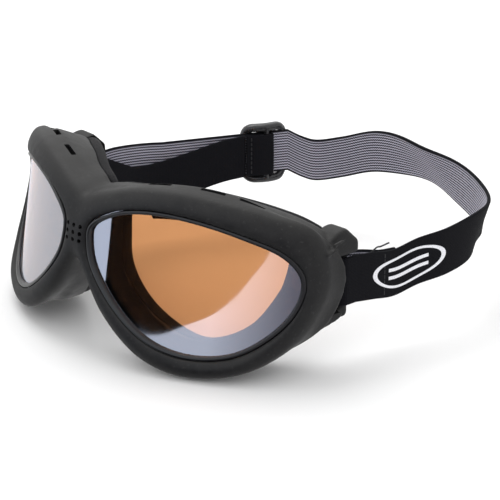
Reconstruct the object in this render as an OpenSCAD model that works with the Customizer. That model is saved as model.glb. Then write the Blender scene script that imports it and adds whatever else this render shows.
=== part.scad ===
/* [Goggle] */
// Radius of each cylindrical lens
lens_r = 130; // [110:5:160]
// Thickness of the lens sheet
lens_t = 2.2; // [1.6:0.1:3]
// Number of steps between two control stations of the frame
steps = 4; // [2:1:6]
// Degrees by which the soft bridge lets the left half ride up
flex = 2.5; // [0:0.5:4]
// Diameter of the small bridge vent holes
vent_d = 1.6; // [1:0.1:2.4]
// Length of each top vent slot
slot_l = 9; // [6:0.5:12]

/* [Strap] */
// Width of the elastic webbing
strap_w = 18; // [15:0.5:25]
// Thickness of the elastic webbing
strap_t = 1.4; // [1:0.1:2]
// Length of the slider along the strap
slider_l = 20.5; // [16:0.5:24]
// Height of the slider across the strap
slider_h = 25.5; // [22:0.5:32]

/* [Hidden] */
$fn = 32;
charcoal = [0.16, 0.16, 0.17];
black = [0.04, 0.04, 0.045];
amber = [0.75, 0.48, 0.28, 0.6];
y_mid = 89;
z_low = 45.5;
lean = 0.11;
post = [70.5, 66];

// front surface of the two lenses, joined in a shallow V at the bridge
function face(x, z) = lens_r - sqrt(lens_r * lens_r - pow(abs(x) + 18, 2))
    + lean * z - 1.2 * pow(z / 30, 2);

// sixteen stations round the right lens, starting at the nose
open_xz = [[7,-1.5],[8.5,4.5],[17,9.5],[26,12],[37,12.5],[49,10.8],[61,7],[71.5,1.5],
    [77,-7],[76,-18],[70,-28],[60.5,-35],[47,-36.5],[33,-32.5],[20,-23],[10,-11]];
rim_xzd = [[-6,-1,2],[0,12,3.5],[14,17.5,3.5],[26,20,3.5],[39,20.5,3],[52,18.5,2.5],[65,15,2],
    [76.5,9,1.5],[80.5,-6,1.5],[79.5,-20,.5],[74.5,-32.5,-.5],[64,-41.5,-.5],[47,-44.6,1.5],
    [30,-40.5,2.5],[14,-28.5,2.5],[4.5,-16,2.5]];
crest = [[-6,10.5,-1],[0,11,13.5],[15,17.5,18],[27,22,20],[39,27.5,20.5],[51,34,18.6],[62,42.5,13],
    [73,53,5],[77.8,60.5,-5],[77.3,60.5,-18],[75,51,-29.5],[63.5,37,-39.5],[47,27,-45.5],
    [30,20,-41.5],[15,14.5,-29.5],[5,10,-17]];
rear = [[-6,21,-3],[-1,20,14],[15,26,16],[28,34,16],[41,42,14],[53,50,11],[63,56.5,7.5],[71,59,3.5],
    [74.5,57,-6],[73.5,56,-19],[68.5,56,-30],[60,47,-38],[46,37,-44.5],[30.5,30,-41.5],[16,22.5,-30.5],[7.5,19,-18.5]];
rear_in = [[9,18.5,-4],[10.5,19.5,7],[18,27,11],[29,34.5,11.5],[40.5,42,10],[47,49,6.5],[51.5,52.5,3],
    [54.5,54,-2.5],[55,54,-8],[53.5,53.5,-15],[51,52,-22],[48.5,42.5,-31.5],[40.5,33,-37],
    [30.5,27,-37],[19.5,20,-28.5],[11,17,-16]];
wall_in = [[9.5,11,-1.5],[11,11.5,5.5],[17.5,17,12],[27,21,15],[38,26.5,16],[49,33,14.5],[59,41,12],
    [67.5,48,6.5],[74,53,-6],[73.5,52,-17],[69.5,45,-27],[60.5,35.5,-35],[46.5,27,-40],
    [32,19,-36],[19.5,13,-26],[10.5,10.5,-13]];

function at(p, i) = p[(i + len(p)) % len(p)];
function spline(a, b, c, d, t) = 0.5 * (2 * b + (c - a) * t + (2 * a - 5 * b + 4 * c - d) * t * t
    + (3 * b - a - 3 * c + d) * t * t * t);
function loop(p, n) = [for (i = [0:len(p) - 1], k = [0:n - 1])
    spline(at(p, i - 1), at(p, i), at(p, i + 1), at(p, i + 2), k / n)];
function chain(p, n) = [for (i = [0:len(p) - 2], k = [0:(i == len(p) - 2 ? n : n - 1)])
    spline(p[max(i - 1, 0)], p[i], p[i + 1], p[min(i + 2, len(p) - 1)], k / n)];
function mix(a, b, t) = [for (i = [0:len(a) - 1]) a[i] * (1 - t) + b[i] * t];
function shift(a, v) = [for (p = a) p + v];
function place(xz, d) = [for (p = xz) [p[0], face(p[0], p[1]) + d, p[1]]];
function rim_at(d) = [for (p = rim_xzd) [p[0], face(p[0], p[1]) + p[2] + d, p[1]]];
function bead() = [for (i = [0:15]) let (a = open_xz[i], c = rim_xzd[i],
    x = (a[0] + c[0]) / 2, z = (a[1] + c[1]) / 2) [x, face(x, z) - 2.4 + c[2] * 0.8, z]];
function inset(a, b, e) = [for (i = [0:len(a) - 1])
    let (v = [a[i][0] - open_xz[i][0], 0, a[i][2] - open_xz[i][1]], n = norm(v))
    a[i] * (1 - b) + e[i] * b - v / n * (i < 8 || i > 14 ? 0 : i < 11 ? 0.5 : 0.9)];

// closed tube skinned through a list of closed rings
module skin(rings) {
    m = len(rings);
    n = len(rings[0]);
    pts = [for (r = rings) each r];
    polyhedron(pts, [for (i = [0:m - 1], j = [0:n - 1])
        let (a = i * n + j, b = i * n + (j + 1) % n, c = ((i + 1) % m) * n + (j + 1) % n,
            d = ((i + 1) % m) * n + j) each [[a, c, b], [a, d, c]]]);
}

// curved plate that follows the lens surface inside an outline of [x, z] points
module plate(xz, d0, d1) {
    n = len(xz);
    c = [42, -12];
    lv = [0.25, 0.5, 0.75, 1];
    ringp = [for (s = lv) [for (p = xz) c + (p - c) * s]];
    front_pts = [for (r = ringp) each place(r, d0)];
    back_pts = [for (i = [3:-1:0]) each place(ringp[i], d1)];
    pts = concat(front_pts, back_pts, place([c], d0), place([c], d1));
    polyhedron(pts, concat(
        [for (i = [0:6], j = [0:n - 1]) let (a = i * n + j, b = i * n + (j + 1) % n)
            each [[a, b + n, b], [a, a + n, b + n]]],
        [for (j = [0:n - 1]) [8 * n, j, (j + 1) % n]],
        [for (j = [0:n - 1]) [8 * n + 1, 7 * n + (j + 1) % n, 7 * n + j]]));
}

function grow(xz, g) = [for (i = [0:len(xz) - 1])
    let (v = at(xz, i + 1) - at(xz, i - 1), n = norm(v)) xz[i] + [-v[1], v[0]] / n * g];

module left_side() rotate([0, flex, 0]) mirror([1, 0, 0]) children();
module both() {
    children();
    left_side() children();
}
module shared() translate([0, -y_mid, z_low]) children();

// ribbon of webbing: points are [x, y, z] of the middle line, w tall and t thick
module ribbon(p, w, t) {
    m = len(p);
    d = [for (i = [0:m - 1]) let (v = p[min(i + 1, m - 1)] - p[max(i - 1, 0)],
        q = [v[1], -v[0], 0]) q / norm(q)];
    pts = [for (i = [0:m - 1]) each [p[i] + d[i] * t / 2 + [0, 0, w / 2],
        p[i] + d[i] * t / 2 - [0, 0, w / 2], p[i] - d[i] * t / 2 - [0, 0, w / 2],
        p[i] - d[i] * t / 2 + [0, 0, w / 2]]];
    polyhedron(pts, concat([[0, 2, 1], [0, 3, 2]],
        [for (i = [0:m - 2], k = [0:3]) let (a = i * 4 + k, b = i * 4 + (k + 1) % 4)
            each [[a, b, b + 4], [a, b + 4, a + 4]]],
        [[(m - 1) * 4, (m - 1) * 4 + 1, (m - 1) * 4 + 2], [(m - 1) * 4, (m - 1) * 4 + 2, (m - 1) * 4 + 3]]));
}

// straight stretch of the strap that the slider runs on
run_a = [-50.6, 154.4, -13];
run_b = [-71.7, 103.5, -13];
run_d = (run_b - run_a) / norm(run_b - run_a);
run_n = [run_d[1], -run_d[0], 0];
run_ang = atan2(run_d[1], run_d[0]);
slider_at = run_a + run_d * 10.3;

module frame_half() {
    intersection() {
        difference() {
            skin([for (r = [place(open_xz, -.3), bead(), rim_at(0), rim_at(4.5),
                inset(rim_at(5), .35, crest), inset(rim_at(6), .65, crest), crest,
                mix(crest, rear, .5), rear, rear_in, wall_in, place(open_xz, 6)]) loop(r, steps)]);
            plate(grow(loop(open_xz, steps), 2), 1.6, 1.6 + lens_t + .1);
            plate(grow(loop(open_xz, steps), .9), -8, 1.8);
            top_slots();
        }
        translate([-.8, -10, -60]) cube([101, 120, 100]);
    }
}
module top_slots()
    for (s = [26, 44.5, 56.5])
        let (x = s, g = face(x, 18) + 11.2)
            translate([x, g, 6]) rotate([0, 0, atan2(face(x + 1, 18) - face(x - 1, 18), 2)])
                translate([-slot_l / 2, -1, 0]) cube([slot_l, 2, 30]);

module bridge_hollow() translate([0, 7.5, 0]) rotate([-90, 0, 0])
    linear_extrude(30) polygon([[-6.5, 3], [-5, 7], [5, 7], [6.5, 3], [6.5, -7], [5, -9.5], [-5, -9.5], [-6.5, -7]]);

module goggle_frame() color(charcoal) shared() difference() {
    union() {
        both() frame_half();
        both() strap_anchor();
    }
    bridge_hollow();
    for (i = [-1:1], k = [-1:1])
        translate([i * 3.4, -4, k * 2.6]) rotate([-90, 0, 0]) cylinder(d = vent_d, h = 15);
}
// ear tab above, lug below, and the upright post between them that carries the strap loop
module side_shape(x0, x1) translate([x0, 0, 0]) rotate([90, 0, 90]) linear_extrude(x1 - x0) children();
module strap_anchor() {
    translate([post[0], post[1], -28]) cylinder(d = 4, h = 27);
    side_shape(66, 75.5) polygon([[52, 1], [60, 5.5], [64, 6], [70, .5], [70, -4.2], [52, -4.2]]);
    side_shape(66, 75.5) polygon([[48, -24.8], [62, -24.8], [62.5, -26], [60, -27.4], [54, -28.6], [48, -29.2]]);
    side_shape(66, 72.4) polygon([[48, -24.8], [66.5, -24.8], [67, -25.8], [64, -27], [57, -28.4], [48, -29]]);
}

module lens() plate(grow(loop(open_xz, steps), 1.8), 1.7, 1.7 + lens_t - .1);
module lens_right() color(amber) shared() lens();
module lens_left() color(amber) shared() left_side() lens();

// soft black seal between the edge of the lens and the rim
module gasket() difference() {
    plate(grow(loop(open_xz, steps), .85), .1, 1.65);
    plate(grow(loop(open_xz, steps), -.7), -3, 4);
}
module lens_gasket_right() color(black) shared() gasket();
module lens_gasket_left() color(black) shared() left_side() gasket();

// foam pad bonded round the rear edge of the shell
module foam_half() intersection() {
    skin([for (r = [shift(mix(rear, rear_in, .15), [0, .15, 0]), shift(mix(rear, rear_in, .15), [0, 4, 0]),
        shift(mix(rear, rear_in, .55), [0, 5, 0]), shift(mix(rear, rear_in, .95), [0, 4, 0]),
        shift(mix(rear, rear_in, .95), [0, .15, 0])]) loop(r, steps)]);
    translate([0, 0, -60]) cube([100, 120, 100]);
}
module face_foam() color(black) shared() difference() {
    both() foam_half();
    bridge_hollow();
    both() strap_anchor();
}

// strip of filter foam under the three top slots of one side
module vent_foam() {
    p = [for (x = [24:3:60]) [x, face(x, 18) + 10.4, 10.4 - pow((x - 36) / 24, 2) * 4]];
    ribbon(p, 2.6, 4.5);
}
module top_vent_foam_right() color(black) shared() vent_foam();
module top_vent_foam_left() color(black) shared() left_side() vent_foam();
module bridge_vent_foam() color(black) shared()
    translate([-5.5, 7.8, -4.5]) cube([11, 2, 9]);

right_pts = [[73.3, 73, -14.9], [73.6, 79, -15.9], [73.2, 90, -17.6], [73.8, 102, -16], [75, 116, -15.2],
    [72.6, 131.5, -14.2], [65, 146.3, -14], [54, 159.5, -14.2], [38, 169, -13], [19, 175, -11.3],
    [0, 177, -9.8], [-19, 175.5, -11], [-34, 170.5, -15.8], [-43, 164.5, -18], [-47.6, 160, -16.5]];
left_pts = [[-73.6, 97, -12.4], [-74.6, 88, -11.6], [-74.4, 79, -11], [-73.8, 73, -11.4]];
module strap_band() color(black) shared() ribbon(concat(
    chain(concat(right_pts, [run_a]), 4), chain(concat([run_b], left_pts), 4)), strap_w, strap_t);

// half turn of webbing round an ear post, ending where the main band begins
module turn(z) ribbon(concat(
    [[post[0] + 2.8, post[1] + 4.6, z]],
    [for (a = [0:-15:-180]) [post[0] + 2.8 * cos(a), post[1] + 2.8 * sin(a), z]],
    [[post[0] - 2.8, post[1] + 4.6, z]]), strap_w, strap_t);
module strap_loop_right() color(black) shared() turn(-14.8);
module strap_loop_left() color(black) shared() left_side() turn(-14.8);

// folded end of the webbing, sewn back to the inner face on the right
module strap_end_fold() color(black) shared()
    ribbon(chain([[67.9, 73, -14.9], [69.4, 77, -15.5], [71.5, 84, -16.8], [71.4, 92, -17.8]], 3), strap_w, strap_t);
module end_stitch() color([0.1, 0.1, 0.11]) shared()
    for (k = [-3.5:1:3.5]) translate([70.6, 84.2, -17.9 + k * 2])
        cube([3.2, .8, 1.4]);
module end_thread() color(black) shared()
    ribbon(chain([[73.2, 78, -7], [74.2, 80, -5.2], [73.7, 82.5, -5.6], [74.9, 85.5, -4.6]], 4), .7, .7);

// printed badge on the outer face: a plain oval ring with two bars
module strap_badge() color([0.85, 0.85, 0.86]) shared() translate([74.5, 97, -17.2])
    rotate([90, 0, 88]) {
        difference() {
            scale([3, 1, 1]) cylinder(r = 6.2, h = .4);
            translate([0, 0, -1]) scale([3.2, 1, 1]) cylinder(r = 5.2, h = 3);
        }
        for (s = [-1.5, 1.5]) translate([-10, s - .7, 0]) cube([20, 1.4, .4]);
    }

// run that comes back inside the left side and ends at the slider
return_pts = [[-68.1, 73, -12.4], [-69.2, 79, -16], [-70.8, 88, -20], [-70.4, 97, -20.6],
    [-66.3, 110, -18.5], [-60.3, 125, -14.6], [-56.2, 135.1, -13.2]];
module strap_return() color(black) shared() ribbon(chain(return_pts, 4), strap_w, strap_t);

// frame of pieces that ride on the strap: x along the run, y towards the head, z up
module on_run() translate(slider_at) rotate([0, 0, run_ang]) children();
module slider() color([0.05, 0.05, 0.055]) shared() on_run() {
    for (s = [-1, 1]) {
        translate([s * (slider_l / 2 - 1.6), -2.1, 0]) cube([3.2, 2.4, slider_h - 3], center = true);
        translate([0, -.1, s * (slider_h / 2 - 1.5)]) rotate([0, 90, 0])
            scale([1, 2, 1]) cylinder(d = 3.2, h = slider_l - 2, center = true);
    }
    translate([0, 2.6, 0]) cube([3.4, 1.2, slider_h - 3], center = true);
}
module slider_loop() color(black) shared() on_run() {
    ribbon([for (q = [[9, 1.5], [4, 1.3], [2.2, 1.35], [-1.2, 1.35], [-2.3, 1.6], [-2.6, 2.6], [-2.3, 3.6], [-1.2, 3.95],
        [2.2, 3.95], [4, 3.6], [7, 2.9], [9, 2.85]]) [q[0], q[1], 0]], strap_w - .4, .9);
}
module slider_stitch() color([0.1, 0.1, 0.11]) shared() on_run()
    for (k = [-3.5:1:3.5]) translate([7, 2.35, k * 2]) cube([.8, 3, 1.4], center = true);

goggle_frame();
lens_right();
lens_left();
lens_gasket_right();
lens_gasket_left();
face_foam();
top_vent_foam_right();
top_vent_foam_left();
bridge_vent_foam();
strap_band();
strap_loop_right();
strap_loop_left();
strap_end_fold();
end_stitch();
end_thread();
strap_badge();
strap_return();
slider();
slider_loop();
slider_stitch();
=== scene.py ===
"""Looks of the motorcycle goggles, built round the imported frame. Lengths in the tables are millimetres."""

import math

import bmesh
import bpy
import numpy as np
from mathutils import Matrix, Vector

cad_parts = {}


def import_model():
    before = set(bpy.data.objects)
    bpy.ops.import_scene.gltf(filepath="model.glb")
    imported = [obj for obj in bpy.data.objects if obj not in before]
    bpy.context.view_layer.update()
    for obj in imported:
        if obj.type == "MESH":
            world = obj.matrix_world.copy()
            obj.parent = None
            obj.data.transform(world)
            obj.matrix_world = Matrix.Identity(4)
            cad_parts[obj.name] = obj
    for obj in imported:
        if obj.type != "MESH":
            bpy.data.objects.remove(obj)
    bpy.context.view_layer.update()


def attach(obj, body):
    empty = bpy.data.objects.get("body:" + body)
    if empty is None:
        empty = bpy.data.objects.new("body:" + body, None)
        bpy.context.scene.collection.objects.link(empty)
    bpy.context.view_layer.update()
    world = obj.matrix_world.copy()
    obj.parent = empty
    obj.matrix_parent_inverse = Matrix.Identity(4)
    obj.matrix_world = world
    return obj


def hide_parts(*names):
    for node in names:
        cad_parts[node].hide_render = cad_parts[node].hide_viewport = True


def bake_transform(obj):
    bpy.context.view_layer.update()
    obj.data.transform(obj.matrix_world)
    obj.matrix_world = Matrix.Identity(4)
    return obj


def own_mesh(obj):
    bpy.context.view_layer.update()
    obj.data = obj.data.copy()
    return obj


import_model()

MM = 0.001
Y_MID = 89.0
Z_LOW = 45.5
LENS_R = 130.0
LEAN = 0.11
AROUND = 14  # samples between two stations round a lens
CORNER = 5  # samples on each rounded corner of a section
VOXEL = 0.56
FLEX = math.radians(2.5)  # the soft bridge lets the left half ride up
POST = (70.5, 66.0)
STRAP_W, STRAP_T = 18.0, 1.4
SLIDER_L, SLIDER_H = 20.5, 25.5
SLOT_X = (26, 44.5, 56.5)
SLOT_L = 9.0
SQUARE = ((-1, -1), (1, -1), (1, 1), (-1, 1))
LOOP_R = 2.8  # middle of the webbing round an ear post
RIDGE_PITCH = 1.12  # of the stripes on the inner face
STITCHES = np.arange(-3.5, 4, 1) * 2  # heights of a row of stitches about its middle
LENS_MIDDLE = Vector((0.045, -0.07, 0.033))

# ---------------------------------------------------------------- camera

camera = bpy.data.objects.new("camera", bpy.data.cameras.new("camera"))
bpy.context.scene.collection.objects.link(camera)
camera.location = (0.5597, -0.5151, 0.2940)
camera_aim = Vector((0.0401, -0.039, 0.0375))
camera.rotation_euler = (camera_aim - camera.location).to_track_quat("-Z", "Y").to_euler()
camera.data.lens = 150.7
camera.data.sensor_width = 36
camera.data.clip_start = 0.01
bpy.context.scene.camera = camera

# ---------------------------------------------------------------- curves and surfaces

# sixteen stations round the right lens, starting at the nose: [x, z], or [x, y, z]
OPEN = [[7, -1.5], [8.5, 4.5], [17, 9.5], [26, 12], [37, 12.5], [49, 10.8], [61, 7], [71.5, 1.5],
        [77, -7], [76, -18], [70, -28], [60.5, -35], [47, -36.5], [33, -32.5], [20, -23], [10, -11]]
# the third number is how far the rim lies behind the lens surface
RIM = [[-6, -1, 2], [0, 12, 3.5], [14, 17.5, 3.5], [26, 20, 3.5], [39, 20.5, 3], [52, 18.5, 2.5],
       [65, 15, 2], [76.5, 9, 1.5], [80.5, -6, 1.5], [79.5, -20, 0.5], [74.5, -32.5, -0.5],
       [64, -41.5, -0.5], [47, -44.6, 1.5], [30, -40.5, 2.5], [14, -28.5, 2.5], [4.5, -16, 2.5]]
CREST = [[-6, 10.5, -1], [0, 11, 13.5], [15, 17.5, 18], [27, 22, 20], [39, 27.5, 20.5], [51, 34, 18.6],
         [62, 42.5, 13], [73, 53, 5], [77.8, 60.5, -5], [77.3, 60.5, -18], [75, 51, -29.5],
         [63.5, 37, -39.5], [47, 27, -45.5], [30, 20, -41.5], [15, 14.5, -29.5], [5, 10, -17]]
REAR = [[-6, 21, -3], [-1, 20, 14], [15, 26, 16], [28, 34, 16], [41, 42, 14], [53, 50, 11],
        [63, 56.5, 7.5], [71, 59, 3.5], [74.5, 57, -6], [73.5, 56, -19], [68.5, 56, -30],
        [60, 47, -38], [46, 37, -44.5], [30.5, 30, -41.5], [16, 22.5, -30.5], [7.5, 19, -18.5]]
REAR_IN = [[9, 18.5, -4], [10.5, 19.5, 7], [18, 27, 11], [29, 34.5, 11.5], [40.5, 42, 10], [47, 49, 6.5],
           [51.5, 52.5, 3], [54.5, 54, -2.5], [55, 54, -8], [53.5, 53.5, -15], [51, 52, -22],
           [48.5, 42.5, -31.5], [40.5, 33, -37], [30.5, 27, -37], [19.5, 20, -28.5], [11, 17, -16]]
WALL_IN = [[9.5, 11, -1.5], [11, 11.5, 5.5], [17.5, 17, 12], [27, 21, 15], [38, 26.5, 16], [49, 33, 14.5],
           [59, 41, 12], [67.5, 48, 6.5], [74, 53, -6], [73.5, 52, -17], [69.5, 45, -27],
           [60.5, 35.5, -35], [46.5, 27, -40], [32, 19, -36], [19.5, 13, -26], [10.5, 10.5, -13]]


def face(x, z):
    """Front surface of the two lenses: a shallow V of two cylinders, leaning back."""
    return LENS_R - np.sqrt(LENS_R**2 - (np.abs(x) + 18) ** 2) + LEAN * z - 1.2 * (z / 30) ** 2


def spline(a, b, c, d, t):
    return 0.5 * (2 * b + (c - a) * t + (2 * a - 5 * b + 4 * c - d) * t**2 + (3 * b - a - 3 * c + d) * t**3)


def loop(points, n=AROUND):
    """Closed smooth curve through points, n samples to a span."""
    p = np.array(points, float)
    t = (np.arange(n) / n)[None, :, None]
    spans = spline(*(np.roll(p, s, 0)[:, None] for s in (1, 0, -1, -2)), t)
    return spans.reshape(-1, p.shape[1])


def chain(points, step=1.0):
    """Open smooth curve through points, sampled about every step millimetres."""
    p = np.array(points, float)
    p = np.vstack([2 * p[0] - p[1], p, 2 * p[-1] - p[-2]])
    t = np.linspace(0, 1, 40, endpoint=False)[:, None]
    fine = np.vstack([spline(p[i], p[i + 1], p[i + 2], p[i + 3], t) for i in range(len(p) - 3)] + [p[-2:-1]])
    along = np.r_[0, np.cumsum(np.linalg.norm(np.diff(fine, axis=0), axis=1))]
    at = np.linspace(0, along[-1], max(3, int(along[-1] / step)))
    return np.stack([np.interp(at, along, fine[:, k]) for k in range(3)], 1)


def on_face(xz, depth):
    return np.stack([xz[:, 0], face(xz[:, 0], xz[:, 1]) + depth, xz[:, 1]], 1)


def grow(xz, by):
    """Outline moved outward by a distance."""
    v = np.roll(xz, -1, 0) - np.roll(xz, 1, 0)
    n = np.stack([-v[:, 1], v[:, 0]], 1) / np.linalg.norm(v, axis=1)[:, None]
    return xz + n * by


def rounded(rings, cuts):
    """Rows of a surface through rings, with each ring's corner cut back by a share of its spans."""
    rows, m = [], len(rings)
    for k, (ring, cut) in enumerate(zip(rings, cuts)):
        before = ring + (rings[k - 1] - ring) * cut
        after = ring + (rings[(k + 1) % m] - ring) * cut
        for t in np.linspace(0, 1, CORNER):
            rows.append((1 - t) ** 2 * before + 2 * t * (1 - t) * ring + t**2 * after)
    return np.array(rows)


def placed(points):
    """Table millimetres to the frame's metres."""
    p = np.asarray(points, float).reshape(-1, 3)
    return (p + [0, -Y_MID, Z_LOW]) * MM


def to_left(points):
    """The same point of the left half: mirrored, then raised by the flex of the bridge."""
    x, y, z = (points * [-1, 1, 1]).T
    return np.stack([x * math.cos(FLEX) + z * math.sin(FLEX), y, z * math.cos(FLEX) - x * math.sin(FLEX)], 1)


def new_object(name, verts, faces, mirrored=False):
    """Mesh object from points in table millimetres. mirrored puts it on the left side."""
    verts = np.asarray(verts, float).reshape(-1, 3)
    if mirrored:
        verts = to_left(verts)
        faces = [f[::-1] for f in faces]
    co = placed(verts)
    mesh = bpy.data.meshes.new(name)
    mesh.from_pydata(co.tolist(), [], [list(map(int, f)) for f in faces])
    mesh.update()
    obj = bpy.data.objects.new(name, mesh)
    bpy.context.scene.collection.objects.link(obj)
    return obj


def grid_faces(m, n, wrap_rows, wrap_cols=True):
    """Quads of an m by n grid of points."""
    return [(i * n + j, i * n + (j + 1) % n, ((i + 1) % m) * n + (j + 1) % n, ((i + 1) % m) * n + j)
            for i in range(m if wrap_rows else m - 1) for j in range(n if wrap_cols else n - 1)]


def skin(name, rows, wrap=True, caps=False, mirrored=False):
    """Closed tube or patch through rows of points, turned the right way out."""
    rows = np.asarray(rows, float)
    m, n = rows.shape[:2]
    faces = grid_faces(m, n, wrap)
    if caps:
        faces += [tuple(range(n))[::-1], tuple((m - 1) * n + j for j in range(n))]
    obj = new_object(name, rows.reshape(-1, 3), faces, mirrored)
    outward(obj)
    return obj


def outward(obj):
    b = bmesh.new()
    b.from_mesh(obj.data)
    bmesh.ops.recalc_face_normals(b, faces=b.faces)
    b.to_mesh(obj.data)
    b.free()


def smooth(obj, angle=40):
    obj.data.polygons.foreach_set("use_smooth", [True] * len(obj.data.polygons))
    obj.data.set_sharp_from_angle(angle=math.radians(angle))
    obj.data.update()
    return obj


def apply_modifier(obj, kind, **settings):
    modifier = obj.modifiers.new(kind.lower(), kind)
    for key, value in settings.items():
        setattr(modifier, key, value)
    shown = bpy.context.evaluated_depsgraph_get()
    mesh = bpy.data.meshes.new_from_object(obj.evaluated_get(shown))
    obj.modifiers.clear()
    obj.data = mesh
    return obj


def joined(name, parts):
    """One object from several, each with no parent."""
    b = bmesh.new()
    for part in parts:
        b.from_mesh(part.data)
        bpy.data.objects.remove(part)
    mesh = bpy.data.meshes.new(name)
    b.to_mesh(mesh)
    b.free()
    obj = bpy.data.objects.new(name, mesh)
    bpy.context.scene.collection.objects.link(obj)
    return obj


def prism(outline, low, high, axis, bevel, mirrored=False):
    """Bevelled block: outline in the two other axes, from low to high along axis."""
    rest = [k for k in range(3) if k != axis]
    verts = []
    for level in (low, high):
        for q in outline:
            p = [0.0, 0.0, 0.0]
            p[rest[0]], p[rest[1]], p[axis] = q[0], q[1], level
            verts.append(p)
    n = len(outline)
    faces = [tuple(range(n)), tuple(range(2 * n - 1, n - 1, -1))]
    faces += [(i, n + i, n + (i + 1) % n, (i + 1) % n) for i in range(n)]
    obj = new_object("block", verts, faces, mirrored)
    outward(obj)
    if bevel:
        apply_modifier(obj, "BEVEL", width=bevel * MM, segments=4, limit_method="NONE")
    return obj


def rod(path, radius, sides=12, flat=1.0):
    """Rows of a round bar along a path. flat scales it across the path, sideways."""
    p = np.asarray(path, float)
    d = np.gradient(p, axis=0)
    d /= np.linalg.norm(d, axis=1)[:, None]
    up = np.where(np.abs(d[:, 2:3]) > 0.9, [[1.0, 0, 0]], [[0, 0, 1.0]])
    side = np.cross(d, up)
    side /= np.linalg.norm(side, axis=1)[:, None]
    top = np.cross(side, d)
    turn = np.linspace(0, 2 * math.pi, sides, endpoint=False)
    rows = [q + radius * (math.cos(a) * flat * s + math.sin(a) * u)
            for q, s, u in zip(p, side, top) for a in turn]
    return np.array(rows).reshape(len(p), sides, 3)


def capsule(start, end, radius, sides=12, flat=1.0, mirrored=False):
    """Straight bar with round ends."""
    a, b = np.array(start, float), np.array(end, float)
    d = (b - a) / np.linalg.norm(b - a)
    turn = np.radians([-88, -60, -30, 0])
    first = [a + d * radius * math.sin(t) for t in turn]
    last = [b - d * radius * math.sin(t) for t in turn[::-1]]
    rows = rod(first + last, radius, sides, flat)
    scale = [math.cos(t) for t in turn]
    centre = np.array(first + last)[:, None]
    rows = centre + (rows - centre) * np.array(scale + scale[::-1])[:, None, None]
    return skin("bar", rows, wrap=False, caps=True, mirrored=mirrored)


def fused(name, parts, voxel, relax=4):
    """Parts melted into one body by a voxel remesh, then relaxed."""
    obj = joined(name, parts)
    apply_modifier(obj, "REMESH", mode="VOXEL", voxel_size=voxel * MM, adaptivity=0.0, use_smooth_shade=True)
    apply_modifier(obj, "SMOOTH", factor=0.5, iterations=relax)
    return obj


def carve(obj, cutters):
    """Cuts holes and slots into obj."""
    cutter = joined("cutter", cutters)
    apply_modifier(obj, "BOOLEAN", operation="DIFFERENCE", object=cutter, solver="EXACT")
    bpy.data.objects.remove(cutter)
    return obj


# ---------------------------------------------------------------- materials

def material(name):
    m = bpy.data.materials.new(name)
    m.use_nodes = True
    shader = m.node_tree.nodes["Principled BSDF"]
    return m, m.node_tree, shader


def add(tree, kind, links=(), **values):
    """New node, with sockets set by name or number and links made to it."""
    node = tree.nodes.new("ShaderNode" + kind)
    for key, value in values.items():
        if hasattr(node, key):
            setattr(node, key, value)
        else:
            node.inputs[key.replace("_", " ")].default_value = value
    for socket, source in links:
        tree.links.new(source, node.inputs[socket])
    return node


def noise(tree, scale, detail=4, rough=0.5):
    where = add(tree, "TexCoord").outputs["Object"]
    return add(tree, "TexNoise", [("Vector", where)], Scale=scale, Detail=detail, Roughness=rough).outputs[0]


def between(tree, value, low, high, out_low=0.0, out_high=1.0):
    n = add(tree, "MapRange", [("Value", value)])
    for socket, v in zip(("From Min", "From Max", "To Min", "To Max"), (low, high, out_low, out_high)):
        n.inputs[socket].default_value = v
    return n.outputs[0]


def math_node(tree, operation, a, b=None):
    n = add(tree, "Math", operation=operation)
    for k, v in enumerate((a, b)):
        if v is None:
            continue
        if isinstance(v, (int, float)):
            n.inputs[k].default_value = v
        else:
            tree.links.new(v, n.inputs[k])
    return n.outputs[0]


def colour_mix(tree, share, a, b):
    n = tree.nodes.new("ShaderNodeMix")
    n.data_type = "RGBA"
    tree.links.new(share, n.inputs[0])
    for socket, value in ((6, a), (7, b)):
        if isinstance(value, tuple):
            n.inputs[socket].default_value = (*value, 1)
        else:
            tree.links.new(value, n.inputs[socket])
    return n.outputs[2]


def bumped(tree, shader, height, strength, distance=0.0002):
    b = add(tree, "Bump", [("Height", height)], Strength=strength, Distance=distance)
    tree.links.new(b.outputs[0], shader.inputs["Normal"])


def rubber_material():
    """Soft matt charcoal moulding: fine grain, upward-facing surfaces painted lighter for the light from
    above, rubbed edges a little smoother.
    """
    m, t, s = material("rubber")
    grain = noise(t, 2600, 3, 0.6)
    mottle = noise(t, 240, 6, 0.65)
    scuff = noise(t, 800, 4, 0.7)
    up = add(t, "SeparateXYZ", [(0, add(t, "NewGeometry").outputs["Normal"])]).outputs[2]
    # painted light: upward-facing surfaces get a lighter colour, broken up by the mottle, for the light that
    # falls on them from above
    painted_top_light = math_node(t, "MULTIPLY", between(t, up, 0.05, 0.95), between(t, mottle, 0.3, 0.7, 0.55, 1.0))
    base = colour_mix(t, between(t, mottle, 0.35, 0.65), (0.0075, 0.0074, 0.0082), (0.0125, 0.0122, 0.0128))
    top_lit_colour = colour_mix(t, painted_top_light, base, (0.028, 0.0275, 0.0268))
    specks = between(t, scuff, 0.6, 0.72)
    speckled = colour_mix(t, math_node(t, "MULTIPLY", specks, 0.35), top_lit_colour, (0.07, 0.07, 0.07))
    t.links.new(speckled, s.inputs["Base Color"])
    t.links.new(between(t, mottle, 0.3, 0.7, 0.5, 0.64), s.inputs["Roughness"])
    s.inputs["Specular IOR Level"].default_value = 0.22
    bumped(t, s, math_node(t, "ADD", grain, math_node(t, "MULTIPLY", scuff, 0.8)), 0.5, 0.00014)
    return m


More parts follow.
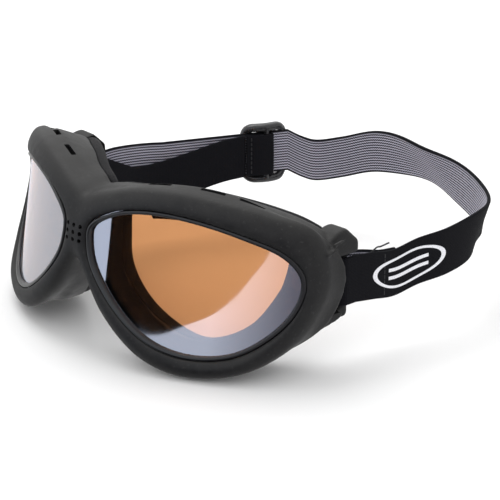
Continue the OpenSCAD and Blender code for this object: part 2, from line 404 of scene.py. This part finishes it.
def inside_shade_material():
    """Inside of the moulding, matt, with shade painted in as a much darker colour than the outside."""
    m, t, s = material("inside_shade")
    grain = noise(t, 900, 3)
    # painted shade: these near-black colours stand in for the shade inside the eye spaces
    base = colour_mix(t, grain, (0.0012, 0.0012, 0.0014), (0.0035, 0.0034, 0.0036))
    t.links.new(base, s.inputs["Base Color"])
    s.inputs["Roughness"].default_value = 0.85
    s.inputs["Specular IOR Level"].default_value = 0.06
    bumped(t, s, grain, 0.3, 0.0001)
    return m


def lens_material(mirrored):
    """Amber sheet, under a silver flash mirror with faint smears on its front."""
    m, t, s = material("lens_mirror" if mirrored else "lens_amber")
    s.inputs["Base Color"].default_value = (1.0, 0.47, 0.2, 1)
    s.inputs["Transmission Weight"].default_value = 1.0
    s.inputs["Roughness"].default_value = 0.0
    s.inputs["IOR"].default_value = 1.3
    if not mirrored:
        haze = noise(t, 60, 2)
        t.links.new(between(t, haze, 0.4, 0.7, 0.0, 0.02), s.inputs["Roughness"])
        return m
    smear = noise(t, 90, 3)
    gloss = add(t, "BsdfGlossy", [("Roughness", between(t, smear, 0.4, 0.7, 0.015, 0.045))])
    gloss.inputs["Color"].default_value = (0.86, 0.9, 1.0, 1)
    both = add(t, "MixShader", [(1, s.outputs[0]), (2, gloss.outputs[0])])
    both.inputs[0].default_value = 0.4
    t.links.new(both.outputs[0], t.nodes["Material Output"].inputs["Surface"])
    return m


def seal_material():
    m, t, s = material("seal")
    grain = noise(t, 1500, 2)
    t.links.new(colour_mix(t, grain, (0.004, 0.004, 0.005), (0.012, 0.012, 0.014)), s.inputs["Base Color"])
    t.links.new(between(t, grain, 0.3, 0.7, 0.28, 0.4), s.inputs["Roughness"])
    bumped(t, s, grain, 0.15, 0.00005)
    return m


def foam_material():
    """Open-cell foam: small cell hollows, with shade painted darker inside them."""
    m, t, s = material("foam")
    where = add(t, "TexCoord").outputs["Object"]
    cells = add(t, "TexVoronoi", [("Vector", where)], Scale=1500.0).outputs["Distance"]
    mottle = noise(t, 300, 4)
    pit_depth_and_shade = between(t, cells, 0.0, 0.55)
    # painted shade: the colour darkens towards the middle of each cell, where the bump makes a hollow
    base = colour_mix(t, pit_depth_and_shade, (0.002, 0.002, 0.0025), (0.014, 0.0135, 0.015))
    mottled = colour_mix(t, math_node(t, "MULTIPLY", mottle, 0.4), base, (0.018, 0.0175, 0.019))
    t.links.new(mottled, s.inputs["Base Color"])
    s.inputs["Roughness"].default_value = 0.95
    s.inputs["Sheen Weight"].default_value = 0.05
    s.inputs["Specular IOR Level"].default_value = 0.1
    bumped(t, s, pit_depth_and_shade, 0.8, 0.0003)
    return m


def webbing_material(inner):
    """Knitted elastic. The map runs in millimetres: along the strap, then across it."""
    m, t, s = material("webbing_inner" if inner else "webbing_outer")
    where = add(t, "SeparateXYZ", [(0, add(t, "UVMap", uv_map="band").outputs[0])])
    along, across = where.outputs[0], where.outputs[1]
    if inner:
        zigzag = math_node(t, "PINGPONG", along, 0.55)
        slanted = math_node(t, "ADD", across, math_node(t, "MULTIPLY", zigzag, 0.6))
        wave = math_node(t, "SINE", math_node(t, "MULTIPLY", slanted, 2 * math.pi / RIDGE_PITCH))
        yarn = between(t, wave, -0.05, 0.4)
        edge = between(t, math_node(t, "ABSOLUTE", across), STRAP_W / 2 - 1.1, STRAP_W / 2 - 0.8, 1.0, 0.0)
        light = math_node(t, "MULTIPLY", yarn, edge)
        fleck = noise(t, 2200, 3)
        pale = colour_mix(t, fleck, (0.33, 0.325, 0.40), (0.52, 0.51, 0.60))
        t.links.new(colour_mix(t, light, (0.006, 0.006, 0.012), pale), s.inputs["Base Color"])
        height = math_node(t, "ADD", light, math_node(t, "MULTIPLY", fleck, 0.4))
        bumped(t, s, height, 0.7, 0.00018)
    else:
        rib = math_node(t, "SINE", math_node(t, "MULTIPLY", across, 2 * math.pi / 0.55))
        zigzag = math_node(t, "PINGPONG", across, 0.275)
        slanted = math_node(t, "ADD", along, math_node(t, "MULTIPLY", zigzag, 1.2))
        stitch = math_node(t, "SINE", math_node(t, "MULTIPLY", slanted, 2 * math.pi / 0.7))
        knit = math_node(t, "ADD", math_node(t, "MULTIPLY", rib, 0.6), math_node(t, "MULTIPLY", stitch, 0.5))
        fleck = noise(t, 1800, 3)
        tone = between(t, math_node(t, "ADD", knit, fleck), -0.6, 1.5)
        yarn_black = colour_mix(t, tone, (0.002, 0.002, 0.003), (0.0065, 0.0065, 0.0095))
        t.links.new(yarn_black, s.inputs["Base Color"])
        bumped(t, s, math_node(t, "ADD", knit, fleck), 0.6, 0.00012)
        s.inputs["Specular IOR Level"].default_value = 0.12
    s.inputs["Roughness"].default_value = 0.85
    s.inputs["Sheen Weight"].default_value = 0.05 if inner else 0.0
    return m


def thread_material():
    m, t, s = material("thread")
    where = add(t, "TexCoord").outputs["Object"]
    twist = add(t, "TexWave", [("Vector", where)], Scale=900.0, Distortion=2.0).outputs["Fac"]
    t.links.new(colour_mix(t, twist, (0.003, 0.003, 0.004), (0.012, 0.012, 0.015)), s.inputs["Base Color"])
    s.inputs["Roughness"].default_value = 0.6
    bumped(t, s, twist, 0.5, 0.0001)
    return m


def print_material():
    """White ink on the knit: the ribs show through as small gaps."""
    m, t, s = material("print")
    fleck = noise(t, 2400, 4, 0.7)
    worn = between(t, fleck, 0.3, 0.48)
    t.links.new(colour_mix(t, worn, (0.42, 0.42, 0.46), (0.80, 0.80, 0.84)), s.inputs["Base Color"])
    s.inputs["Roughness"].default_value = 0.6
    bumped(t, s, fleck, 0.5, 0.0001)
    return m


def slider_material():
    """Glossy black moulded plastic with faint flow marks."""
    m, t, s = material("slider")
    haze = noise(t, 240, 4)
    t.links.new(colour_mix(t, haze, (0.008, 0.008, 0.009), (0.018, 0.018, 0.020)), s.inputs["Base Color"])
    t.links.new(between(t, haze, 0.3, 0.7, 0.14, 0.27), s.inputs["Roughness"])
    bumped(t, s, noise(t, 900, 2), 0.06, 0.00005)
    return m


RUBBER = rubber_material()
INSIDE_SHADE = inside_shade_material()
MIRROR, AMBER = lens_material(True), lens_material(False)
SEAL = seal_material()
FOAM = foam_material()
OUTER, INNER = webbing_material(False), webbing_material(True)
THREAD = thread_material()
PRINT = print_material()
SLIDER = slider_material()


def dress(obj, *materials):
    obj.data.materials.clear()
    for m in materials:
        obj.data.materials.append(m)
    return obj


def piece(obj, node, body):
    """Names a piece after its CAD node, which it replaces, and fastens it to its body."""
    obj.name = node + "_detail"
    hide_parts(node)
    if body:
        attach(obj, body)
    return obj


# ---------------------------------------------------------------- shell

opening = loop(OPEN)


def rim_at(depth):
    r = np.array(RIM, float)
    return np.stack([r[:, 0], face(r[:, 0], r[:, 1]) + r[:, 2] + depth, r[:, 1]], 1)


def bead():
    """Soft rise half way between the opening and the rim."""
    a, r = np.array(OPEN, float), np.array(RIM, float)
    xz = (a + r[:, :2]) / 2
    return np.stack([xz[:, 0], face(xz[:, 0], xz[:, 1]) - 2.4 + r[:, 2] * 0.8, xz[:, 1]], 1)


def waist(depth, share):
    """Shallow groove behind the rim along the temple and the cheek."""
    a, o = rim_at(depth), np.array(OPEN, float)
    v = np.stack([a[:, 0] - o[:, 0], np.zeros(16), a[:, 2] - o[:, 1]], 1)
    v /= np.linalg.norm(v, axis=1)[:, None]
    v *= np.array([0] * 8 + [0.5] * 3 + [0.9] * 4 + [0])[:, None]
    return a * (1 - share) + np.array(CREST, float) * share - v


def shell_rows():
    crest, rear = np.array(CREST, float), np.array(REAR, float)
    rings = [
        (on_face(grow(opening, 0.95), -0.3), 0.2),
        (loop(bead()), 0.5),
        (loop(rim_at(0)), 0.45),
        (loop(rim_at(4.5)), 0.3),
        (loop(waist(5, 0.35)), 0.5),
        (loop(waist(6, 0.65)), 0.5),
        (loop(crest), 0.3),
        (loop(crest * 0.5 + rear * 0.5), 0.5),
        (loop(rear), 0.25),
        (loop(REAR_IN), 0.3),
        (loop(WALL_IN), 0.5),
        (on_face(opening, 6), 0.3),
        (on_face(opening, 3.95), 0.1),
        (on_face(grow(opening, 2), 3.95), 0.1),
        (on_face(grow(opening, 2), 1.7), 0.1),
        (on_face(grow(opening, 0.95), 1.7), 0.1),
    ]
    return rounded([r for r, _ in rings], [c for _, c in rings])


def side_parts(mirrored):
    """Ear tab, lug and its narrow tip, strap post and the two moulded ribs on the temple."""
    tab = [(52, 1), (60, 5.5), (64, 6), (70, 0.5), (70, -4.2), (52, -4.2)]
    lug = [(48, -24.8), (62, -24.8), (62.5, -26), (60, -27.4), (54, -28.6), (48, -29.2)]
    hook = [(48, -24.8), (66.5, -24.8), (67, -25.8), (64, -27), (57, -28.4), (48, -29)]
    return [
        prism(tab, 66, 75.5, 0, 1.3, mirrored),
        prism(lug, 66, 75.5, 0, 0.9, mirrored),
        prism(hook, 66, 72.4, 0, 0.9, mirrored),
        capsule((*POST, -27), (*POST, -3), 2, 20, mirrored=mirrored),
        capsule((79.6, 50, 0.6), (79.0, 54.5, 1.1), 0.7, mirrored=mirrored),
        capsule((78.4, 54.5, 2.6), (77.4, 59.5, 3.0), 0.7, mirrored=mirrored),
    ]


def shell_cutters():
    cutters = []
    hollow = [(-6.5, 3), (-5, 7), (5, 7), (6.5, 3), (6.5, -7), (5, -9.5), (-5, -9.5), (-6.5, -7)]
    cutters.append(prism(hollow, 7.5, 37.5, 1, 1.0))
    for i in (-1, 0, 1):
        for k in (-1, 0, 1):
            cutters.append(capsule((i * 3.4, -8, k * 2.6), (i * 3.4, 10.5, k * 2.6), 0.8, 20))
    for x in SLOT_X:
        for side in (False, True):
            y = face(x, 18) + 11.2
            turn = math.atan2(face(x + 1, 18) - face(x - 1, 18), 2)
            along = np.array([math.cos(turn), math.sin(turn)])
            across = np.array([-math.sin(turn), math.cos(turn)])
            corners = [np.array([x, y]) + along * a * (SLOT_L / 2) + across * b for a, b in SQUARE]
            cutters.append(prism(corners, 6, 36, 2, 0.3, side))
    return cutters


def ease_bridge(body):
    """Relaxes the crease where the two halves meet over the nose, less and less away from it."""
    group = body.vertex_groups.new(name="bridge")
    co = np.array([v.co for v in body.data.vertices]) / MM + [0, Y_MID, -Z_LOW]
    share = np.clip(1.1 - np.abs(co[:, 0]) / 18, 0, 1) * np.clip((24 - co[:, 1]) / 8, 0, 1)
    for level in range(1, 11):
        picked = np.nonzero((share * 10).round() == level)[0]
        group.add([int(i) for i in picked], level / 10, "REPLACE")
    apply_modifier(body, "SMOOTH", factor=0.5, iterations=110, vertex_group="bridge")


def inside_loop(q, outline):
    """Whether each point of q lies inside a closed outline."""
    a, b = outline, np.roll(outline, -1, 0)
    level = (a[:, 1] > q[:, 1:2]) != (b[:, 1] > q[:, 1:2])
    rise = np.where(b[:, 1] == a[:, 1], 1e-9, b[:, 1] - a[:, 1])
    at = a[:, 0] + (q[:, 1:2] - a[:, 1]) * (b[:, 0] - a[:, 0]) / rise
    return (level & (q[:, 0:1] < at)).sum(1) % 2 == 1


def paint_inside_shade(body):
    """Paints shade on the walls of the two eye spaces: gives them the darker copy of the rubber."""
    mesh = body.data
    flat = np.empty(len(mesh.polygons) * 3)
    mesh.polygons.foreach_get("center", flat)
    c = flat.reshape(-1, 3) / MM + [0, Y_MID, -Z_LOW]
    facing = np.empty(len(mesh.polygons) * 3)
    mesh.polygons.foreach_get("normal", facing)
    n = facing.reshape(-1, 3)
    left = c[:, :1] < 0
    c, n = np.where(left, to_left(c), c), np.where(left, to_left(n), n)
    inward = ((np.array([42, -12]) - c[:, [0, 2]]) * n[:, [0, 2]]).sum(1) > 3
    # painted shade: inward faces behind the lens, inside the eye spaces, get the darker material
    dark = inside_loop(c[:, [0, 2]], grow(opening, 4.5)) & (c[:, 1] > face(c[:, 0], c[:, 2]) + 3.2) & inward
    mesh.polygons.foreach_set("material_index", dark.astype(int))


def shell():
    rows = shell_rows()
    parts = [skin("half", rows, mirrored=side) for side in (False, True)]
    for side in (False, True):
        parts += side_parts(side)
    body = fused("shell", parts, VOXEL, 5)
    ease_bridge(body)
    carve(body, shell_cutters())
    smooth(dress(body, RUBBER, INSIDE_SHADE))
    paint_inside_shade(body)
    return piece(body, "goggle_frame", "goggles")


# ---------------------------------------------------------------- lenses, seals, foam

def lens(side):
    """Curved sheet in its groove: fine rings from the middle out, front and back, with a rounded edge."""
    outline, middle = grow(opening, 1.8), np.array([42.0, -12.0])
    shares = np.linspace(0.02, 1, 28)
    front = [on_face(middle + (outline - middle) * s, 1.7) for s in shares]
    back = [on_face(middle + (outline - middle) * s, 3.8) for s in shares[::-1]]
    edge = [on_face(grow(outline, 0.25), d) for d in (2.1, 2.75, 3.4)]
    obj = skin("lens", front + edge + back, wrap=False, caps=True, mirrored=side)
    dress(obj, AMBER, MIRROR)
    for k in range(len(obj.data.polygons)):
        obj.data.polygons[k].material_index = int(k < (len(front) - 1) * len(outline))
    obj.data.polygons[len(obj.data.polygons) - 2].material_index = 1
    smooth(obj, 60)
    return piece(obj, "lens_left" if side else "lens_right", "goggles")


def seal(side):
    """Black ring between the sheet and the rim, half round towards the front."""
    section = [(0.85, 1.65), (0.85, 0.45), (0.6, 0.05), (0.1, -0.1),
               (-0.45, 0.15), (-0.7, 0.7), (-0.7, 1.65)]
    rings = [on_face(grow(opening, g), d) for g, d in section]
    obj = skin("seal", rounded(rings, [0.3] * len(rings)), mirrored=side)
    smooth(dress(obj, SEAL), 60)
    return piece(obj, "lens_gasket_left" if side else "lens_gasket_right", "goggles")


def foam_ring():
    """Crowned pad on the rear edge, with a moulded dip along its middle."""
    rear, inner = loop(REAR), loop(REAR_IN)
    section = [(0.12, 0.1), (0.1, 2.2), (0.2, 3.9), (0.38, 4.8), (0.55, 4.6),
               (0.75, 4.8), (0.92, 3.9), (0.98, 2.2), (0.96, 0.1)]
    rings = [rear * (1 - s) + inner * s + [0, d, 0] for s, d in section]
    cuts = [0.2] + [0.5] * 7 + [0.2]
    parts = []
    for side in (False, True):
        half = skin("pad", rounded(rings, cuts), mirrored=side)
        b = bmesh.new()
        b.from_mesh(half.data)
        bmesh.ops.bisect_plane(b, geom=b.verts[:] + b.edges[:] + b.faces[:], plane_co=(0, 0, 0),
                               plane_no=(-1 if not side else 1, 0, 0), clear_outer=True)
        bmesh.ops.holes_fill(b, edges=b.edges)
        b.to_mesh(half.data)
        b.free()
        parts.append(half)
    obj = joined("foam", parts)
    apply_modifier(obj, "SUBSURF", levels=1)
    smooth(dress(obj, FOAM), 50)
    return piece(obj, "face_foam", "goggles")


def vent_foams():
    for side in (False, True):
        spots = [[x, face(x, 18) + 10.4, 10.4 - ((x - 36) / 24) ** 2 * 4] for x in range(24, 61, 3)]
        rows = rod(chain(spots, 0.8), 2.2, 16, 0.6)
        obj = skin("vent", rows, wrap=False, caps=True, mirrored=side)
        smooth(dress(obj, FOAM), 60)
        piece(obj, "top_vent_foam_left" if side else "top_vent_foam_right", "goggles")
    obj = prism([(-5.5, -4.5), (5.5, -4.5), (5.5, 4.5), (-5.5, 4.5)], 7.8, 9.8, 1, 0.5)
    smooth(dress(obj, FOAM), 60)
    piece(obj, "bridge_vent_foam", "goggles")


# ---------------------------------------------------------------- strap

RIGHT = [[73.3, 70.6, -14.8], [73.6, 79, -15.9], [73.2, 90, -17.6], [73.8, 102, -16], [75, 116, -15.2],
         [72.6, 131.5, -14.2], [65, 146.3, -14], [54, 159.5, -14.2], [38, 169, -13], [19, 175, -11.3],
         [0, 177, -9.8], [-19, 175.5, -11], [-34, 170.5, -15.8], [-43, 164.5, -18], [-47.6, 160, -16.5]]
RUN_A, RUN_B = np.array([-50.6, 154.4, -13]), np.array([-71.7, 103.5, -13])
LEFT = [[-73.6, 97, -12.4], [-74.6, 88, -11.6], [-74.4, 79, -11], [-73.8, 70.6, -11.4]]
END_FOLD = [[67.7, 70.6, -14.8], [69.4, 77, -15.5], [71.5, 84, -16.8], [71.4, 92, -17.8]]
RETURN = [[-68.3, 70.6, -11.8], [-69.2, 79, -16], [-70.8, 88, -20], [-70.4, 97, -20.6],
          [-66.3, 110, -18.5], [-60.3, 125, -14.6], [-56.2, 135.1, -13.2]]
RUN_D = (RUN_B - RUN_A) / np.linalg.norm(RUN_B - RUN_A)
SLIDER_AT = RUN_A + RUN_D * 10.3
RIDGES = 15


def ribbon_section(w, t):
    """Section of the webbing, anticlockwise: plain crowned outer face, bound edges, ribbed inner face."""
    half = w / 2
    outer = [(t / 2 + 0.05 * math.cos(math.pi * z / w), z) for z in np.linspace(half - 0.5, -half + 0.5, 20)]
    turn = np.linspace(0, math.pi, 7)[1:-1]
    low = [(t / 2 * math.cos(a), -half + 0.5 - 0.5 * math.sin(a)) for a in turn]
    zs = np.linspace(-half + 0.5, half - 0.5, RIDGES * 4 + 1)
    ridge = 0.08 * (t / STRAP_T)
    wave = [math.cos(2 * math.pi * (z + half) / RIDGE_PITCH) * (abs(z) < half - 1) for z in zs]
    inner = [(-t / 2 - ridge * rise, z) for rise, z in zip(wave, zs)]
    high = [(-t / 2 * math.cos(a), half - 0.5 + 0.5 * math.sin(a)) for a in turn]
    return outer + low + inner + high, len(outer) + len(low)


def sideways(path):
    d = np.gradient(np.asarray(path, float), axis=0)
    q = np.stack([d[:, 1], -d[:, 0], np.zeros(len(d))], 1)
    return q / np.linalg.norm(q, axis=1)[:, None]


def lean_of(path):
    """How far the free band leans: its top inward at the back, outward at the right-hand bend."""
    x, y = path[:, 0], path[:, 1]
    back = 23 * np.exp(-(((x - 8) / 17) ** 2)) * (y > 150)
    bend = 17 * np.exp(-((x - 65) ** 2 + (y - 146) ** 2) / 14**2)
    return np.radians(back - bend)


def ribbon(name, path, w=STRAP_W, t=STRAP_T, flip=False):
    """Webbing along a path, its outer face on the right-hand side of travel, mapped in millimetres."""
    path = np.asarray(path, float)
    section, first_inner = ribbon_section(w, t)
    out = sideways(path) * (-1 if flip else 1)
    up = np.array([0, 0, 1.0])
    rows = [[p + (o * math.cos(a) + up * math.sin(a)) * s + (up * math.cos(a) - o * math.sin(a)) * z
             for s, z in section] for p, o, a in zip(path, out, lean_of(path))]
    n, m = len(section), len(rows)
    faces = grid_faces(m, n, False) + [tuple(range(n))[::-1], tuple((m - 1) * n + j for j in range(n))]
    obj = new_object(name, np.array(rows).reshape(-1, 3), faces)
    outward(obj)
    along = np.r_[0, np.cumsum(np.linalg.norm(np.diff(path, axis=0), axis=1))]
    layer = obj.data.uv_layers.new(name="band")
    index = np.array([loop_.vertex_index for loop_ in obj.data.loops])
    uv = np.stack([along[index // n], np.array([z for _, z in section])[index % n]], 1)
    layer.data.foreach_set("uv", uv.ravel())
    dress(obj, OUTER, INNER)
    for p in obj.data.polygons:
        columns = {v % n for v in p.vertices}
        ribbed = all(first_inner <= c <= first_inner + RIDGES * 4 for c in columns)
        p.material_index = int(ribbed and len(columns) == 2)
    smooth(obj, 60)
    return obj


def turn_points(z, side):
    """Path of the webbing round an ear post, from the main band to the inside run."""
    (x, y), r = POST, LOOP_R
    arc = [[x + r * math.cos(a), y + r * math.sin(a), z] for a in np.radians(np.arange(0, -181, -12))]
    pts = np.array([[x + r, y + 4.6, z]] + arc + [[x - r, y + 4.6, z]])
    return to_left(pts) if side else pts


def band_path():
    right = chain(RIGHT + [RUN_A.tolist()])
    left = chain([RUN_B.tolist()] + LEFT)
    count = int(np.linalg.norm(RUN_B - RUN_A))
    run = [RUN_A + (RUN_B - RUN_A) * s for s in np.linspace(0, 1, count)[1:-1]]
    return np.vstack([right, run, left])


def badge(path):
    """Raised oval ring and two bars on the outer face near the right ear, bent with the webbing."""
    out, along = sideways(path), np.r_[0, np.cumsum(np.linalg.norm(np.diff(path, axis=0), axis=1))]
    middle = along[np.argmin(np.linalg.norm(path[:80] - [73.6, 97, -17.2], axis=1))]

    def lifted(u, v, h):
        s = middle + u
        p = np.array([np.interp(s, along, path[:, k]) for k in range(3)])
        o = np.array([np.interp(s, along, out[:, k]) for k in range(3)])
        return p + o * (STRAP_T / 2 + 0.05 + h) + np.array([0, 0, v])

    parts = []
    turn = np.linspace(0, 2 * math.pi, 97)[:-1]
    ring = [(18.6, 6.2, -0.1), (18.5, 6.1, 0.12), (17.6, 5.6, 0.16), (16.4, 5.3, 0.12), (16.3, 5.2, -0.1)]
    rows = [[lifted(a * math.cos(t), b * math.sin(t), h) for t in turn] for a, b, h in ring]
    parts.append(skin("ring", rows, wrap=True))
    bar = [(0, -0.1), (0.1, 0.13), (0.7, 0.16), (1.3, 0.13), (1.4, -0.1)]
    for low in (-2.2, 0.8):
        rows = [[lifted(u, low + v, h) for v, h in bar] for u in np.linspace(-10, 10, 41)]
        parts.append(skin("bar", rows, wrap=False, caps=True))
    obj = joined("badge", parts)
    smooth(dress(obj, PRINT), 60)
    return piece(obj, "strap_badge", "strap")


def on_run(q):
    """Point in the slider's own axes: x along the run, y towards the head, z up."""
    x, y, z = q
    return SLIDER_AT + RUN_D * x + np.array([-RUN_D[1], RUN_D[0], 0]) * y + np.array([0, 0, z])


def webbing():
    path = band_path()
    band = ribbon("band", path)
    piece(band, "strap_band", None)
    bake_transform(band)
    badge(path)
    for side in (False, True):
        node = "strap_loop_left" if side else "strap_loop_right"
        obj = ribbon(node, chain(turn_points(-14.8, side), 0.6), flip=not side)
        piece(obj, node, "goggles")
    fold = ribbon("fold", chain(END_FOLD), flip=True)
    piece(fold, "strap_end_fold", None)
    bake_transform(fold)
    back = ribbon("back", chain(RETURN))
    piece(back, "strap_return", "strap")
    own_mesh(back)


def threads():
    parts = []
    for x in (70.6, 73.95):
        for z in -16.7 + STITCHES:
            parts.append(capsule((x, 84.4, z - 0.6), (x, 84.4, z + 0.6), 0.3, 10))
    obj = joined("end_stitch", parts)
    smooth(dress(obj, THREAD), 60)
    piece(obj, "end_stitch", "strap")
    tail = chain([[73.2, 78, -7], [74.2, 80, -5.2], [73.7, 82.5, -5.6], [74.9, 85.5, -4.6]], 0.3)
    obj = skin("tail", rod(tail, 0.3, 10), wrap=False, caps=True)
    smooth(dress(obj, THREAD), 60)
    piece(obj, "end_thread", "strap")


# ---------------------------------------------------------------- slider

def slider():
    """Moulded three-bar slider with full rounded rails."""
    wide, tall = SLIDER_L / 2 - 1.8, SLIDER_H / 2 - 1.7
    corner = 3.6
    ring = []
    for start, x, z in ((0, 1, 1), (90, -1, 1), (180, -1, -1), (270, 1, -1)):
        for a in np.radians(np.arange(start, start + 91, 15)):
            px, pz = x * (wide - corner), z * (tall - corner)
            ring.append((px + corner * math.cos(a), pz + corner * math.sin(a)))
    parts = []
    for k, (x, z) in enumerate(ring):
        x2, z2 = ring[(k + 1) % len(ring)]
        for t in np.linspace(0, 1, max(2, int(math.dist((x, z), (x2, z2)) / 0.8)), endpoint=False):
            px, pz = x + (x2 - x) * t, z + (z2 - z) * t
            arch = 1.9 * (1 - (px / wide) ** 2) * min(1, max(0, (abs(pz) - tall + 3) / 2.5))
            at = np.array([px, -2.1 + arch, pz])
            parts.append(capsule(on_run(at), on_run(at + [0, 0.9 + arch * 0.6, 0]), 1.65, 12))
    parts.append(capsule(on_run((0, 2.6, -tall)), on_run((0, 2.6, tall)), 1.1, 20))
    obj = fused("slider", parts, 0.22, 6)
    smooth(dress(obj, SLIDER))
    piece(obj, "slider", "slider")
    loop_points = [[9, 1.5], [4, 1.3], [2.2, 1.35], [-1.2, 1.35], [-2.3, 1.6], [-2.6, 2.6], [-2.3, 3.6],
                   [-1.2, 3.95], [2.2, 3.95], [4, 3.6], [7, 2.9], [9, 2.85]]
    path = chain([on_run((x, y, 0)) for x, y in loop_points], 0.5)
    obj = ribbon("turnback", path, STRAP_W - 0.4, 0.9, True)
    piece(obj, "slider_loop", "slider")
    parts = []
    for y in (0.95, 3.45):
        for z in STITCHES:
            parts.append(capsule(on_run((7, y, z - 0.45)), on_run((7, y, z + 0.45)), 0.28, 10))
    obj = joined("slider_stitch", parts)
    smooth(dress(obj, THREAD), 60)
    piece(obj, "slider_stitch", "slider")


shell()
for left in (False, True):
    lens(left)
    seal(left)
foam_ring()
vent_foams()
webbing()
threads()
slider()

# ---------------------------------------------------------------- stage

def light(name, at, towards, size, power):
    data = bpy.data.lights.new(name, "AREA")
    data.energy, data.size = power, size
    obj = bpy.data.objects.new(name, data)
    bpy.context.scene.collection.objects.link(obj)
    obj.location = at
    obj.rotation_euler = (Vector(towards) - Vector(at)).to_track_quat("-Z", "Y").to_euler()


def floor():
    m, t, s = material("floor")
    t.links.new(colour_mix(t, noise(t, 3, 3), (0.86, 0.86, 0.86), (0.9, 0.9, 0.9)), s.inputs["Base Color"])
    s.inputs["Roughness"].default_value = 0.9
    mesh = bpy.data.meshes.new("floor")
    r = 4.0
    mesh.from_pydata([(-r, -r, 0), (r, -r, 0), (r, r, 0), (-r, r, 0)], [], [(0, 1, 2, 3)])
    obj = bpy.data.objects.new("floor", mesh)
    bpy.context.scene.collection.objects.link(obj)
    obj.data.materials.append(m)
    obj.visible_glossy = False


def world():
    w = bpy.data.worlds.new("studio")
    w.use_nodes = True
    w.node_tree.nodes["Background"].inputs["Color"].default_value = (1, 1, 1, 1)
    w.node_tree.nodes["Background"].inputs["Strength"].default_value = 1.0
    bpy.context.scene.world = w


def reflected(name, azimuths, low, high, paint):
    """Curved card a long way off that only the gloss sees. Its angles are degrees, sideways and up."""
    reach = 3.0
    rows = []
    smoothed = chain(np.stack([azimuths, low, high], 1), 1.0)
    for a, lo, hi in smoothed:
        turn = math.radians(a)
        ahead = LENS_MIDDLE + Vector((math.sin(turn), -math.cos(turn), 0)) * reach
        rows += [ahead + Vector((0, 0, reach * math.tan(math.radians(e)))) for e in (lo, hi)]
    mesh = bpy.data.meshes.new(name)
    faces = [(2 * i, 2 * i + 2, 2 * i + 3, 2 * i + 1) for i in range(len(smoothed) - 1)]
    mesh.from_pydata([v[:] for v in rows], [], faces)
    obj = bpy.data.objects.new(name, mesh)
    bpy.context.scene.collection.objects.link(obj)
    m = bpy.data.materials.new(name)
    m.use_nodes = True
    t = m.node_tree
    t.nodes.clear()
    glow = add(t, "Emission")
    x = add(t, "SeparateXYZ", [(0, add(t, "TexCoord").outputs["Object"])]).outputs[0]
    (x0, c0), (x1, c1) = paint
    t.links.new(colour_mix(t, between(t, x, x0, x1), c0, c1), glow.inputs["Color"])
    out = add(t, "OutputMaterial")
    t.links.new(glow.outputs[0], out.inputs["Surface"])
    obj.data.materials.append(m)
    for ray in ("camera", "diffuse", "transmission", "shadow", "volume_scatter"):
        setattr(obj, "visible_" + ray, False)


floor()
world()
span = [-20.7, -14, -7, 2, 10, 19, 26, 31, 35, 37, 45]
horizon = [-4.6, -4.5, -4.5, -4.7, -5.5, -6.6, -8, -9.4, -10.5, -11.3, -15]
black = (0.004, 0.004, 0.004)
reflected("dark_card", span, [-60] * len(span), horizon, ((-1, black), (1, black)))
wide = span + [60, 80]
low_edge = horizon + [-22, -30]
pale_to_grey = ((1.0, (1.05, 1.1, 1.22)), (2.2, (0.3, 0.29, 0.34)))
reflected("grey_card", wide, low_edge, [50] * len(wide), pale_to_grey)
bright = list(range(-60, -20, 4)) + [-20.7]
pale_blue = ((-3, (1.1, 1.15, 1.2)), (0, (1.15, 1.25, 1.5)))
reflected("white_card", bright, [-40] * len(bright), [30] * len(bright), pale_blue)
light("key", (-0.5, 0.1, 1.1), (0, 0, 0.03), 0.9, 7)
light("fill", (0.9, -0.9, 0.9), (0, -0.03, 0.03), 0.8, 2)
bpy.context.scene.view_settings.view_transform = "Standard"
